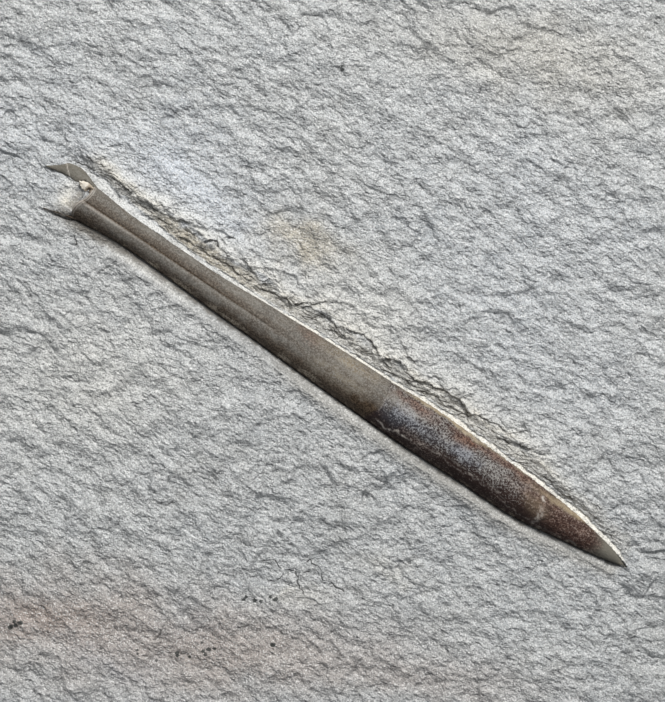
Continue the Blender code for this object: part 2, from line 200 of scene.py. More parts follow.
# Each ragged edge: its drop, and its line. The rock drops on the line's right-hand side.
CHIP_EDGES = (
    (0.30, ((1.5, 7.7), (3.5, 7.3), (5.5, 6.9), (7.1, 6.9))), (0.25, ((6.7, 6.8), (7.4, 7.9))),
    (0.28, ((-5.9, 5.7), (-4.5, 6.1), (-3.1, 6.5), (-1.7, 6.3))),
    (0.2, ((-4.3, 8.1), (-2.5, 8.0), (-0.5, 8.1))), (0.34, ((9.9, 6.8), (11.1, 6.9), (12.5, 7.0))),
    (0.4, ((16.5, 7.3), (17.5, 7.1), (18.3, 7.7), (19.9, 8.1))),
    (0.3, ((13.1, 5.4), (14.3, 5.7), (15.5, 5.5), (16.9, 5.9))),
    (0.3, ((21.1, 6.4), (21.9, 7.0), (22.9, 7.6))),
    (0.42, ((24.9, 7.0), (25.7, 7.8), (26.7, 8.4), (27.5, 8.0))),
    (0.25, ((27.3, 9.8), (28.1, 10.4), (29.1, 10.8))), (0.28, ((28.7, 7.6), (30.1, 7.2), (31.5, 7.0))),
    (0.3, ((33.1, 8.2), (35.1, 7.8), (37.1, 7.2))), (0.3, ((37.5, 6.8), (38.7, 7.0), (39.9, 8.0))),
    (0.34, ((34.7, 6.0), (36.7, 6.4), (38.7, 6.2), (40.1, 6.8))),
    (0.3, ((19.9, 4.9), (21.5, 5.4), (23.1, 5.2), (24.7, 5.6), (26.7, 5.2))),
    (0.3, ((27.5, 5.6), (29.5, 5.4), (31.9, 5.8), (34.3, 5.2), (36.7, 5.6))),
    (0.36, ((38.5, 5.2), (40.7, 5.8), (42.7, 6.0), (44.5, 6.8), (45.7, 6.2))),
    (0.3, ((46.7, 6.6), (47.9, 7.8), (49.9, 9.0), (51.5, 10.6), (54.5, 12.4))),
    (0.36, ((48.1, 7.0), (49.5, 7.8), (51.5, 8.2), (53.5, 8.0), (55.5, 7.6), (57.5, 6.9), (60.3, 6.3))),
    (0.26, ((51.9, 7.4), (53.9, 8.0), (55.9, 7.5))), (0.3, ((56.5, 7.9), (57.5, 8.5), (59.1, 8.3))),
    (0.25, ((49.9, 5.8), (51.9, 6.4), (54.3, 6.0), (56.7, 6.7), (58.7, 6.1))),
    (0.45, ((59.5, 8.7), (60.7, 9.1), (61.9, 9.3), (63.5, 8.9), (65.1, 8.3), (66.1, 7.5))),
    (0.34, ((66.1, 7.5), (67.5, 7.7), (69.1, 8.5), (70.7, 8.7), (72.5, 8.5), (73.5, 7.7), (74.7, 7.3))),
    (0.28, ((61.1, 5.7), (63.5, 6.5), (65.5, 7.3), (67.5, 7.1), (69.9, 6.9))),
    (0.26, ((67.9, 5.7), (70.3, 6.1), (72.7, 6.5), (74.7, 6.1))),
    (0.45, ((75.1, 7.1), (76.3, 8.1), (78.3, 8.5), (81.1, 8.9), (83.9, 9.1), (85.5, 8.7), (87.5, 8.1),
            (89.5, 7.9))),
    (0.3, ((85.9, 6.5), (86.5, 7.5), (87.9, 7.9))),
    (0.26, ((77.1, 6.5), (79.9, 7.1), (83.1, 6.7), (85.5, 7.3))),
    (0.2, ((70.5, 10.3), (71.9, 10.7), (73.1, 10.3))), (0.2, ((63.9, 10.9), (64.7, 11.3))),
    (0.4, ((89.5, 8.7), (91.5, 9.0), (93.9, 9.4), (95.5, 9.0), (96.7, 9.0), (98.1, 10.4), (99.1, 11.6))),
    (0.42, ((95.1, 7.0), (96.9, 7.6), (98.5, 8.2), (100.5, 8.6), (101.9, 9.2), (104.5, 9.6))),
    (0.24, ((106.5, 5.8), (107.9, 6.0), (109.1, 6.0))),
    (0.24, ((109.5, 5.4), (112.5, 5.0), (114.5, 5.4))), (0.2, ((119.1, 4.8), (121.1, 5.0))),
    (0.2, ((123.1, 3.6), (125.5, 3.3), (127.5, 3.3))), (0.3, ((2.4, -6.8), (3.9, -7.8))),
    (0.3, ((-10.4, 1.5), (-8.4, 1.95), (-7.0, 2.7), (-5.8, 2.7), (-5.0, 2.45), (-2.4, 2.2), (-0.9, 2.0))),
)
# Hairline cracks in the rock further off, and dark grains with their radii, in the row frame.
CRACKS = (
    ((-14.4, -42.1), (-11.9, -41.9), (-10.9, -43.1), (-9.7, -44.0), (-8.5, -43.9), (-6.8, -44.3),
     (-4.9, -44.2)),
    ((-9.7, -44.0), (-10.1, -45.3), (-11.3, -45.9), (-12.7, -45.8)),
    ((-7.1, -44.3), (-7.3, -45.5), (-6.9, -46.9), (-6.2, -47.7), (-5.7, -48.8)),
    ((-6.0, -42.6), (-4.6, -41.9), (-3.6, -42.9), (-2.6, -43.9), (-2.2, -45.3), (-1.0, -46.3),
     (0.5, -46.9), (1.5, -47.5), (2.5, -48.0), (3.7, -48.5), (5.6, -49.0), (8.3, -50.6)),
    ((-34.9, -30.4), (-32.9, -30.6), (-31.3, -30.4)),
)
DARK_GRAINS = (
    (-64.5, -55.3, 0.45), (-63.5, -54.9, 0.35), (-62.5, -54.4, 0.4), (-63.7, -54.1, 0.25),
    (-39.1, -59.9, 0.25), (-38.9, -60.6, 0.22), (-31.1, -60.5, 0.32), (-31.0, -61.0, 0.25),
    (-28.6, -61.2, 0.2), (-25.9, -60.1, 0.3), (-24.8, -59.7, 0.32), (-23.6, -59.6, 0.28),
    (-26.1, -58.4, 0.2), (-25.4, -60.8, 0.25), (-11.9, -58.8, 0.38), (-17.3, -49.2, 0.28),
    (-17.8, -49.7, 0.3), (-15.6, -49.9, 0.36), (-14.3, -50.1, 0.28), (-12.4, -49.2, 0.3),
    (-11.4, -49.7, 0.38), (-58.9, -61.6, 0.18), (-35.3, -62.0, 0.2), (-35.1, -49.0, 0.25),
    (1.9, 56.2, 0.32), (1.7, 56.9, 0.3),
)
# The share of its drop that each edge has kept.
CHIP_WEAR = 0.85
# The distances that points carry where no crack or grain, and no chip edge, is near.
UNMARKED = 3.0
NO_EDGE = 2.0
STRIP_ENDS = (-27.0, 139.0)
STRIP_REACH = {1: 13.2, -1: 9.4}


def strip_side(along, side):
    """How far out the dug strip's left (1) or right (-1) border runs, with a ragged line."""
    ragged = 0.7 * rough(along, np.full(np.shape(along), 3.0 * side), 9, 3, 0.6, 90)
    return side * (STRIP_REACH[side] + ragged)


def right_edge(along):
    """The guard's right edge, and in front of the rim the outer edge of the right spur."""
    front = ramp(1.0, -0.6, along)
    return guard_edge(along, 2) * (1 - front) + front * (-4.5 + 0.2 * np.minimum(along, 0))


def fillet_width(along):
    """How wide the cream rock is that still leans on the guard's left flank, a little uneven."""
    uneven = 1 + 0.3 * rough(along, 0 * along, 6, 4, 0.65, 112)
    return smooth_curve(FILLET, along) * uneven


def groove_place(along, right):
    """A distance out from the guard's right edge, in widths of the groove that the tool left there."""
    return right / np.interp(along, *GROOVE_WIDTHS.T)


def trough_height(along, out):
    """How far the dug strip lies below the bedding surface, on each side of the guard."""
    left = out - guard_edge(along, 1)
    right = right_edge(along) - out
    fillet = fillet_width(along)
    share = np.interp(along, (48, 60, 105), (1, 0.76, 0.7))
    bank = -0.12 - 0.68 * share * ramp(-0.1, 1.05, left / fillet)
    shelf = share * np.interp(left - fillet, (0, 0.3, 1.0, 3.2, 5.0), (-0.8, -0.85, -0.7, -0.4, -0.2))
    on_left = np.where(left < fillet, bank, shelf)
    beyond = out - smooth_curve(CHIP_LEDGE, along)
    on_left = on_left * ramp(0.3, -1.9, beyond)
    on_left += 0.28 * ramp(-1.2, 0.6, beyond) * np.exp(-np.maximum(beyond, 0) / 2.4)
    groove_depth = (-1.1, -0.55, -0.25, 0.03, 0.05, -0.14, 0)
    on_right = np.interp(groove_place(along, right), (0, 0.08, 0.5, 1.4, 1.9, 4.2, 7), groove_depth)
    on_right += 0.38 * (-guard_edge(along, 2) - 3.2) * ramp(5, 1.5, right)
    inside = np.where(out > 0, ramp(-14, -6, along), ramp(-8, -1, along)) * ramp(133.5, 127, along)
    depth = np.where(left > -0.45, on_left, np.where(right > 0, on_right, np.where(along > 0, -0.6, 0)))
    return depth * inside


def sediment_height(along, out):
    """The plug in the guard's open front: highest at the rim, sloping down between the spurs."""
    right_end = -3.5 - 0.95 * ramp(-0.2, -1.4, along) + 0.24 * np.minimum(along, 0)
    middle = (3.5 + right_end) / 2
    across = np.clip(np.abs(out - middle) / (3.5 - middle), 0, 1)
    bluntness = 2 + 2 * ramp(-0.6, -2.4, along)
    return smooth_curve(PLUG_CREST, along) * np.sqrt(np.maximum(1 - across**bluntness, 0))


def chip_edges(along, out):
    """Ragged edges: a short fall to the right of each line that the rock regains further on. Also returns
    how dark the painted shade at the foot of the edges is, and the signed distance to the nearest edge."""
    fall = np.zeros(along.shape)
    dark = np.zeros(along.shape)
    edge = np.full(along.shape, NO_EDGE)
    bent_along = along + 0.3 * rough(along, out, 1.7, 3, 0.65, 120)
    bent_out = out + 0.3 * rough(along, out, 1.7, 3, 0.65, 130)
    strength = np.clip(1 + 1.3 * rough(along, out, 3.0, 2, 0.6, 140), 0.25, 1.7)
    for first_drop, line in CHIP_EDGES:
        drop = CHIP_WEAR * first_drop
        ends = np.array(line)
        low, high = ends.min(0) - 4, ends.max(0) + 4
        near = (along > low[0]) & (along < high[0]) & (out > low[1]) & (out < high[1])
        side, past = along_line(bent_along[near], bent_out[near], line)
        held = bell(past, 0, 0.5)
        foot = ramp(-0.08, 0.14, side) * np.exp(-np.maximum(side, 0) / 1.3)
        fall[near] -= drop * held * foot * strength[near]
        fall[near] += 0.25 * drop * held * ramp(-0.9, 0, side) * (side < 0)
        # A thin band of painted shade at the foot of each edge, where the drop casts its shadow.
        line_dark = held * bell(side, 0.1, 0.12) * np.minimum(strength[near], 1)
        dark[near] = np.maximum(dark[near], 0.35 * line_dark)
        reach = np.abs(side) + past
        edge[near] = np.where(reach < np.abs(edge[near]), np.sign(side) * reach, edge[near])
    return fall, dark, edge


def rock_height(x, y):
    """The whole upper side of the slab over z = 0, the painted shade at its chip edges and the distance to
    them.
    """
    along, out = to_guard_frame(x, y)
    inside = (along > -16) & (along < 137) & (out > -10) & (out < 14)
    beside = np.maximum(out - guard_edge(along, 1), guard_edge(along, 2) - out)
    calm = 0.65 * ramp(6.0, 1.5, beside) + 0.2 * ramp(1.2, 0.3, beside)
    calm *= ramp(-14, -8, along) * ramp(138, 132, along)
    height = SLAB_TOP + bedding_height(x, y) * (1 - calm)
    dark = np.zeros(x.shape)
    edge = np.full(x.shape, NO_EDGE)
    fall, dark[inside], edge[inside] = chip_edges(along[inside], out[inside])
    height[inside] += fall + trough_height(along[inside], out[inside])
    height[inside] += sediment_height(along[inside], out[inside])
    shelf = (beside > 0.3) & (beside < 6) & (out > 0) & inside
    shelf_along, shelf_out = along[shelf], out[shelf]
    layer = -1.1 * shelf_out + 1.1 * rough(shelf_along, shelf_out, 6, 3, 0.6, 105)
    layer -= np.floor(layer)
    leaf = np.clip(0.2 + 1.5 * lattice_noise(shelf_along / 4, shelf_out / 1.6, 108), 0, 1)
    chips = 0.34 * leaf * (layer - ramp(0.8, 0.98, layer) - 0.4)
    chips += 0.2 * rough(x[shelf], y[shelf], 2.4, 3, 0.65, 100)
    height[shelf] += chips * ramp(0.3, 1.2, beside[shelf])
    half = (guard_edge(along, 1) - guard_edge(along, 2)) / 2
    off_axis = out - (guard_edge(along, 1) + guard_edge(along, 2)) / 2
    inner = np.minimum(0.55, 0.35 * half)
    under = (off_axis < half - inner) & (off_axis > 0.1 - half) & (along > 0.9) & (along < 131)
    mould = SLAB_TOP - 1.0 - GUARD_FLATNESS * np.sqrt(np.maximum((half + 0.2) ** 2 - off_axis**2, 0))
    return np.where(under, np.minimum(height, mould), height), dark, edge


def slab_radius(angle):
    """The slab's plan: the distance from its middle to its broken outline, with finer raggedness."""
    corners = SLAB_CORNERS - SLAB_SHIFT
    turns = np.arctan2(corners[:, 1], corners[:, 0])
    order = np.argsort(turns)
    fine = np.linspace(-np.pi, np.pi, OUTLINE_STEPS)
    start, end = corners[order], np.roll(corners[order], -1, axis=0)
    edge = end - start
    aim = np.stack([np.cos(fine), np.sin(fine)], -1)
    cross = aim[:, None, 0] * edge[None, :, 1] - aim[:, None, 1] * edge[None, :, 0]
    reach = (start[None, :, 0] * edge[None, :, 1] - start[None, :, 1] * edge[None, :, 0]) / cross
    share = (start[None, :, 0] * aim[:, None, 1] - start[None, :, 1] * aim[:, None, 0]) / cross
    hit = (share >= -1e-6) & (share <= 1 + 1e-6) & (reach > 0)
    radius = np.where(hit, reach, np.inf).min(1)
    ragged = 0.8 * rough(OUTLINE_RADIUS * np.cos(fine), OUTLINE_RADIUS * np.sin(fine), 9, 4, 0.6, 150)
    return np.interp(angle, fine, radius + ragged, period=2 * np.pi)


def side_stand(angle, height):
    """How far the broken side stands out at a height: hard and soft beds, and the rough break between."""
    beds = np.interp(
        height, (0, 1.5, 7.0, 7.5, 10.4, 10.6, 16.4, 17.0, 19.5, 22),
        (-2.0, -0.6, 0.6, -0.8, -1.3, -0.2, 0.9, -0.2, -0.4, -0.4),
    )
    walked = angle * SIDE_RADIUS
    hackle = 0.75 * rough(walked, height * 1.6, 6, 4, 0.6, 170)
    return beds + hackle + 0.35 * lattice_noise(walked / 14, height / 1.1, 180)


def new_piece(name, points, faces, marks, normals=None):
    """A mesh piece at the origin from points in millimetres, its faces, and one float attribute per mark.
    The normals, where given, are those of its first points, and the rest keep their own."""
    mesh = bpy.data.meshes.new(name)
    mesh.from_pydata((points * MM).tolist(), [], faces)
    mesh.shade_smooth()
    for mark, values in marks.items():
        attribute = mesh.attributes.new(mark, "FLOAT", "POINT")
        attribute.data.foreach_set("value", np.ascontiguousarray(values, dtype=np.float32).ravel())
    if normals is not None:
        padded = np.zeros(points.shape)
        padded[:len(normals)] = normals
        mesh.normals_split_custom_set_from_vertices(padded.tolist())
    piece = bpy.data.objects.new(name, mesh)
    bpy.context.scene.collection.objects.link(piece)
    return piece


def grid_normals(x, y, z):
    """Upward unit normals of a surface over a grid, from its slopes along both grid directions."""
    surface = np.stack([x, y, z], -1)
    upward = np.cross(np.gradient(surface, axis=0), np.gradient(surface, axis=1))
    return upward / np.linalg.norm(upward, axis=-1, keepdims=True)


def grid_faces(rows, columns):
    """Quads over a grid whose first index runs along x and whose second runs along y, facing up."""
    first = (np.arange(rows - 1)[:, None] * columns + np.arange(columns - 1)[None, :]).ravel()
    return np.stack([first, first + columns, first + columns + 1, first + 1], -1)


def grid_rim(rows, columns):
    """The grid's outer points in order, anticlockwise seen from above."""
    index = np.arange(rows * columns).reshape(rows, columns)
    return np.concatenate([index[:-1, 0], index[-1, :-1], index[:0:-1, -1], index[0, :0:-1]])


def closed_block(name, top, sides, middle, marks, normals):
    """A closed block: a grid of points on top, rings of points down from its rim, and a flat underside that
    meets in a middle point. The points of the sides take the marks of the rim above them."""
    rim = grid_rim(*top.shape[:2])
    faces = grid_faces(*top.shape[:2]).tolist()
    upper = rim
    for k in range(len(sides)):
        lower = top[..., 0].size + k * len(rim) + np.arange(len(rim))
        faces += np.stack([upper, lower, np.roll(lower, -1), np.roll(upper, -1)], -1).tolist()
        upper = lower
    faces += np.stack([np.roll(upper, -1), upper, np.full(len(rim), upper[-1] + 1)], -1).tolist()
    block_marks = {}
    for mark, values in marks.items():
        on_top = values.ravel()
        block_marks[mark] = np.concatenate([on_top, on_top[np.tile(rim, len(sides))], [0]])
    points = np.concatenate([top.reshape(-1, 3), *sides, [middle]])
    return new_piece(name, points, faces, block_marks, normals.reshape(-1, 3))


def tube_faces(rings, around, shift=0):
    """Faces of a closed tube: quads between its rings of points and a fan at each of its two poles, which
    come last. They face outwards where the rings run anticlockwise seen from the last pole. A shift of 1 in
    the order of a quad's corners splits it along its other diagonal."""
    ring = np.arange(rings * around).reshape(rings, around)
    after = np.roll(ring, -1, axis=1)
    quads = np.stack([ring[:-1], after[:-1], after[1:], ring[1:]], -1).reshape(-1, 4)
    quads = np.roll(quads, shift, axis=1)
    first_fan = np.stack([np.full(around, rings * around), after[0], ring[0]], -1)
    last_fan = np.stack([ring[-1], after[-1], np.full(around, rings * around + 1)], -1)
    return quads.tolist() + first_fan.tolist() + last_fan.tolist()


def rock_marks(x, y, dark, edge):
    """Masks for the rock's finish: ochre, rose and cool stains, pale and freshly cut rock, painted shade, and
    the distances to the nearest dark grain and hairline crack. The pale and cool masks also carry painted
    highlights."""
    along, out = to_guard_frame(x, y)
    warp_x = x + 3.0 * rough(x, y, 9, 3, 0.6, 200)
    warp_y = y + 3.0 * rough(x, y, 9, 3, 0.6, 210)

    def patches(*places):
        """Soft ovals added up. Each has a strength, a middle, two radii and a turn."""
        total = 0
        for strength, cx, cy, rx, ry, turn in places:
            c, s = math.cos(turn), math.sin(turn)
            px, py = (warp_x - cx) * c + (warp_y - cy) * s, (warp_y - cy) * c - (warp_x - cx) * s
            total = total + strength * np.exp(-((px / rx) ** 2 + (py / ry) ** 2))
        return total

    left = out - guard_edge(along, 1)
    right = guard_edge(along, 2) - out
    groove = groove_place(along, right)
    fillet = fillet_width(along)
    near_apex = ramp(131, 128.5, along)
    beside = ramp(-6, 0, along) * near_apex
    past_fillet = left - fillet
    shelf = ramp(0, 0.5, past_fillet) * ramp(4.0, 2.0, past_fillet + 0.8 * rough(x, y, 3, 2, 0.6, 220))
    shelf *= beside * (1 - 0.5 * ramp(100, 112, along))
    ochre = patches((1.1, -7, 22, 9, 4, -0.3), (0.25, 2, 5, 9, 4, -0.5), (0.5, 40, 60, 26, 9, -0.2))
    ochre += shelf * (0.9 * bell(along, 25, 16) + 0.35)
    rose = patches((1, -58, -53, 20, 8, 0.1), (0.8, -22, -60, 30, 9, 0.05), (0.5, 20, -66, 22, 5, -0.1))
    bank = ramp(-7, -3, along) * near_apex * (left > -0.6)
    bank *= ramp(1.2, 0.75, (left + 0.25 * rough(x, y, 2.2, 3, 0.65, 226)) / fillet)
    cut = 0.6 * bank + beside * ramp(0.0, 0.3, right) * ramp(2.0, 1.2, groove) * ramp(4, 14, along)
    patchy = 1 + 0.5 * rough(along, out, 3.5, 3, 0.6, 114)
    pale = bank * (0.3 + 0.66 * ramp(28, 55, along) * patchy) + (0.2 + 0.12 * ramp(50, 80, along)) * shelf
    pale += patches((0.3, -50, -5, 20, 16, 0), (0.25, 8, 10, 16, 6, -0.5))
    pale += patches((0.5, -8.6, -48.6, 5, 1.8, -0.1), (0.35, 12, -43.7, 6, 1.5, -0.3))
    beyond = out - smooth_curve(CHIP_LEDGE, along)
    # A lip rises beyond the chip ledge; its face toward the lamp also gets a painted highlight, pale and
    # cool.
    lip = beside * ramp(115, 105, along) * ramp(-0.8, 0.2, beyond) * np.exp(-np.maximum(beyond, 0) / 3.2)
    pale += 0.75 * lip
    cut_side = beside * ramp(0.2, 0.6, right)
    # A painted highlight, pale, on the groove's far wall beside the guard, which faces the lamp.
    pale += 0.3 * cut_side * ramp(1.7, 1.1, groove) * ramp(6, 16, along) * ramp(36, 20, along)
    # Painted shade: a ragged dark band on the rock along the guard's right flank, where its crevice and
    # shadow lie, a faint darkening over the chipped shelf, and the painted shade at the foot of the chip
    # edges.
    ragged_right = right + 0.35 * rough(x, y, 1.6, 3, 0.65, 225)
    fringe = np.interp(along, (8, 15, 28, 48, 70), (1.7, 2.3, 1.9, 0.8, 0.9))
    painted_shade = beside * (0.9 * ramp(fringe, 0.15 * fringe, ragged_right) * (right > -1) + shelf * 0.05) + dark
    # Just right of the guard near the rim: painted shade, with an ochre stain.
    below_rim = bell(along, 5, 7) * ramp(2.8, 1.3, ragged_right) * (right > -0.5)
    painted_shade += 0.8 * below_rim
    # Painted shade in the tool's groove beside the guard's right flank, where the guard's shadow falls: as
    # deep as the table gives, and a lighter share up to 5.5 mm out.
    groove_shade = np.interp(along, *GROOVE_SHADE.T)
    painted_shade += cut_side * (groove_shade + (0.24 - groove_shade) * ramp(1.1, 1.8, groove)) * ramp(5.5, 2.6, right)
    ochre += 0.5 * below_rim + 0.35 * cut_side * ramp(4.0, 2.0, right) * ramp(45, 60, along)
    # A painted shadow on the rock along the outer edge of the right spur's sliver.
    beside_sliver = bell(out - 0.24 * along, -4.25, 0.28) * ramp(-6.6, -5.2, along) * ramp(1.4, 0.2, along)
    painted_shade += 0.95 * beside_sliver
    between = (left < -0.6) * (right < -0.2)
    # The plug's slope in front of the rim, between the spurs: painted shade on the slope, with an ochre
    # stain.
    slope_face = bell(along, -1.3, 1.0) * between * ramp(2.6, 0.6, out) * ramp(-3.3, -2.1, out)
    painted_shade += 0.62 * slope_face
    ochre += 0.7 * slope_face + 0.8 * np.exp(-((along + 3) ** 2 + (out + 2) ** 2) / 1.2) * between
    plug = bell(along, -2.4, 2.6) * bell(out, -0.3, 3.0) * between
    pale += 0.75 * plug * ramp(-1.8, -3, along)
    cut += 0.8 * slope_face + 0.8 * plug
    spot = np.full(x.shape, UNMARKED)
    for spot_x, spot_y, radius in DARK_GRAINS:
        spot = np.minimum(spot, np.hypot(x - spot_x, 1.25 * (y - spot_y)) - radius)
    crack = np.full(x.shape, UNMARKED)
    bent_x = x + 0.4 * rough(x, y, 1.8, 3, 0.65, 232)
    bent_y = y + 0.4 * rough(x, y, 1.8, 3, 0.65, 236)
    for line in CRACKS:
        side, past = along_line(bent_x, bent_y, line)
        reach = np.abs(side) + past
        crack = np.where(reach < np.abs(crack), np.sign(side) * reach, crack)
    # The cool mask: the lip's painted highlight, and cool stains.
    cool = lip + patches(
        (1, -34, 38, 16, 10, -0.4), (0.5, 45, 28, 30, 12, -0.5), (0.5, 38, 4, 30, 14, -0.6),
        (0.6, -66, 44, 16, 12, 0), (1.9, -25, 27.5, 19, 5.5, -0.59), (1, -46, -61.5, 10, 2.4, -0.42),
    )
    layer = 1.4 * out - 1.2 * rough(along, out, 7, 3, 0.6, 228)
    pale, painted_shade, cut = np.clip(pale, 0, 1), np.clip(painted_shade, 0, 1), np.clip(cut, 0, 1)
    return {"ochre": ochre, "rose": rose, "pale": pale, "painted_shade": painted_shade, "cool": cool, "cut": cut,
            "crack": crack, "spot": spot, "edge": edge, "shelf": shelf, "layer": layer}


TOP_CELLS = (400, 392)
SIDE_STEPS = 16
# Under the dug strip the top bed is lowered, but for an overlap at the strip's sides and ends.
STRIP_BED = 15.4
SIDE_OVERLAP = 0.9
END_OVERLAP = 3.2
s, t = np.meshgrid(np.linspace(-1, 1, TOP_CELLS[0]), np.linspace(-1, 1, TOP_CELLS[1]), indexing="ij")
disc_x, disc_y = s * np.sqrt(1 - t**2 / 2), t * np.sqrt(1 - s**2 / 2)
angle, share = np.arctan2(disc_y, disc_x), np.hypot(disc_x, disc_y)
radius = slab_radius(angle) + side_stand(angle, SLAB_TOP)
x, y = share * radius * np.cos(angle), share * radius * np.sin(angle)
z, dark, edge = rock_height(x, y)
marks = rock_marks(x, y, dark, edge)
from_edge = (1 - share) * radius
z -= (1.1 + 0.9 * rough(x, y, 5, 3, 0.6, 230)) * np.exp(-from_edge / 0.9) * (from_edge < 6)
normals = grid_normals(x, y, z)
along, out = to_guard_frame(x, y)
in_strip = (along > STRIP_ENDS[0] + END_OVERLAP) & (along < STRIP_ENDS[1] - END_OVERLAP)
in_strip &= (out < strip_side(along, 1) - SIDE_OVERLAP) & (out > strip_side(along, -1) + SIDE_OVERLAP)
z = np.where(in_strip, STRIP_BED, z)
top_surface = np.stack([x, y, z], -1)


def top_bed_half(name, rows):
    """One half of the top bed: its rows of the square grid that is bent to the slab's plan, the broken side
    below the plan's edge, an upright wall at the joint, and the flat parting underneath."""
    top = top_surface[rows]
    rim = grid_rim(*top.shape[:2])
    at_joint = (np.abs(s[rows].ravel()) < 0.01)[rim]
    rim_angle = angle[rows].ravel()[rim]
    rim_x, rim_y, rim_z = top.reshape(-1, 3)[rim].T
    sides = []
    for k in range(1, SIDE_STEPS + 1):
        level = rim_z + (PARTING - rim_z) * (k / SIDE_STEPS)
        reach = slab_radius(rim_angle) + side_stand(rim_angle, level)
        side_x = np.where(at_joint, rim_x, reach * np.cos(rim_angle))
        side_y = np.where(at_joint, rim_y, reach * np.sin(rim_angle))
        sides.append(np.stack([side_x, side_y, level], -1))
    middle = (rim_x[~at_joint].mean() * 0.8, 0, PARTING)
    half_marks = {mark: values[rows] for mark, values in marks.items()}
    return closed_block(name, top, sides, middle, half_marks, normals[rows])


middle_row = TOP_CELLS[0] // 2
top_bed_west = top_bed_half("top_bed_west", slice(0, middle_row + 1))
top_bed_east = top_bed_half("top_bed_east", slice(middle_row, TOP_CELLS[0]))


class Shade:
    """A socket of a material's nodes. Arithmetic on sockets adds Math nodes, and node() adds any other."""

    def __init__(self, tree, socket=None):
        self.tree, self.socket = tree, socket

    def node(self, kind, settings=None, inputs=None, output=0):
        """Adds a node: its settings first, then the values or links of its sockets. Gives one output."""
        made = self.tree.nodes.new("ShaderNode" + kind)
        for name, value in (settings or {}).items():
            setattr(made, name, value)
        for name, value in (inputs or {}).items():
            if isinstance(value, Shade):
                self.tree.links.new(value.socket, made.inputs[name])
            else:
                made.inputs[name].default_value = value
        return Shade(self.tree, made.outputs[output])

    def math(self, operation, *values):
        """Adds a Math node for the operation on values or sockets."""
        return self.node("Math", {"operation": operation}, dict(enumerate(values)))

    def __add__(self, other):
        return self.math("ADD", self, other)

    def __sub__(self, other):
        return self.math("SUBTRACT", self, other)

    def __rsub__(self, other):
        return self.math("SUBTRACT", other, self)

    def __mul__(self, other):
        return self.math("MULTIPLY", self, other)

    def __truediv__(self, other):
        return self.math("DIVIDE", self, other)

    __radd__, __rmul__ = __add__, __mul__

    def scaled(self, factor):
        """This colour with its channels multiplied by a number."""
        return self.node("VectorMath", {"operation": "SCALE"}, {0: self, "Scale": factor})

    def between(self, low, high):
        """0 up to low, 1 from high on, smooth between."""
        limits = {"Value": self, "From Min": low, "From Max": high}
        return self.node("MapRange", {"interpolation_type": "SMOOTHSTEP"}, limits)

    def near_zero(self, full, none):
        """1 where this value lies within full of zero on either side, 0 from none on, smooth between."""
        return 1 - self.math("ABSOLUTE", self).between(full, none)

    def noise(self, wavelength, detail=2.0, roughness=0.5, place=None):
        """Fractal noise from 0 to 1 by its wavelength in millimetres, over the piece or over given places."""
        where = place or self.node("TexCoord", output="Object")
        return self.node("TexNoise", None, {
            "Vector": where, "Scale": 1000 / wavelength, "Detail": detail, "Roughness": roughness,
        })

    def mark(self, name):
        """One of the piece's float attributes."""
        return self.node("Attribute", {"attribute_name": name}, output="Fac")

    def tint(self, below, above):
        """A colour: below where this value is 0, above where it is 1."""
        inputs = {0: self}
        for number, colour in ((6, below), (7, above)):
            inputs[number] = colour if isinstance(colour, Shade) else (*colour, 1)
        return self.node("Mix", {"data_type": "RGBA", "clamp_factor": True}, inputs, output=2)


def layered(colour, *layers):
    """A colour with others laid over it in turn. Each layer is a mask and its colour."""
    for mask, tone in layers:
        colour = mask.tint(colour, tone)
    return colour


def new_finish(name):
    """An empty Principled material, and a Shade to add its nodes through."""
    finish = bpy.data.materials.new(name)
    finish.use_nodes = True
    return finish, Shade(finish.node_tree)


def set_surface(finish, colour, roughness, bump=None, specular=0.5):
    """Links or sets the main sockets of the finish."""
    surface = finish.node_tree.nodes["Principled BSDF"]
    surface.inputs["Specular IOR Level"].default_value = specular
    for name, value in (("Base Color", colour), ("Roughness", roughness), ("Normal", bump)):
        if isinstance(value, Shade):
            finish.node_tree.links.new(value.socket, surface.inputs[name])
        elif value is not None:
            surface.inputs[name].default_value = value


limestone, rock = new_finish("limestone")
place = rock.node("TexCoord", output="Object")
bedded = rock.node("Mapping", {"vector_type": "TEXTURE"}, {
    "Vector": place, "Rotation": (0.0, 0.0, -0.5), "Scale": (1.35, 1.0, 1.0),
})
coarse = rock.noise(2.7, 2.0, 0.6, place=bedded)
grain = rock.noise(0.66, 2.5, 0.75, place=bedded)
cloud = rock.noise(14, 3.0, 0.55)
mottle = rock.noise(2.8, 3.0, 0.6, place=bedded)
speck = rock.noise(0.34, 1.0, 0.6)
broken = rock.noise(2.2, 2.0, 0.6)
# Fine ledges for the relief: each creeps up and drops over a thin edge that faces the lower left.
LEDGE_PITCH = 3.9
downhill = {0: place, 1: (-500.0, -866.0, 0.0)}
falling = rock.node("VectorMath", {"operation": "DOT_PRODUCT"}, downhill, output=1)
moved = rock.node("VectorMath", None, {0: place, 1: (0.3, 0.1, 0.0)})
wander = rock.noise(LEDGE_PITCH * 2.6, 3.0, 0.6, place=moved)
phase = rock.math("FRACT", falling / LEDGE_PITCH + wander * 4.0)
present = rock.noise(LEDGE_PITCH * 1.7, 1.0, 0.5, place=moved)
ledges = (phase - phase.between(0.78, 1.0)) * present.between(0.48, 0.72) * 0.26
crack = (rock.mark("crack") + (broken - 0.5) * 0.6).near_zero(0.03, 0.17) * broken.between(0.33, 0.5)
dark_grain = 1 - (rock.mark("spot") + (grain - 0.5) * 0.5).between(0.06, 0.26)
# A thin dark stroke at the foot of each chip edge: a painted shadow line.
chip_line = (rock.mark("edge") - 0.06 + (broken - 0.5) * 0.5).near_zero(0.03, 0.14)
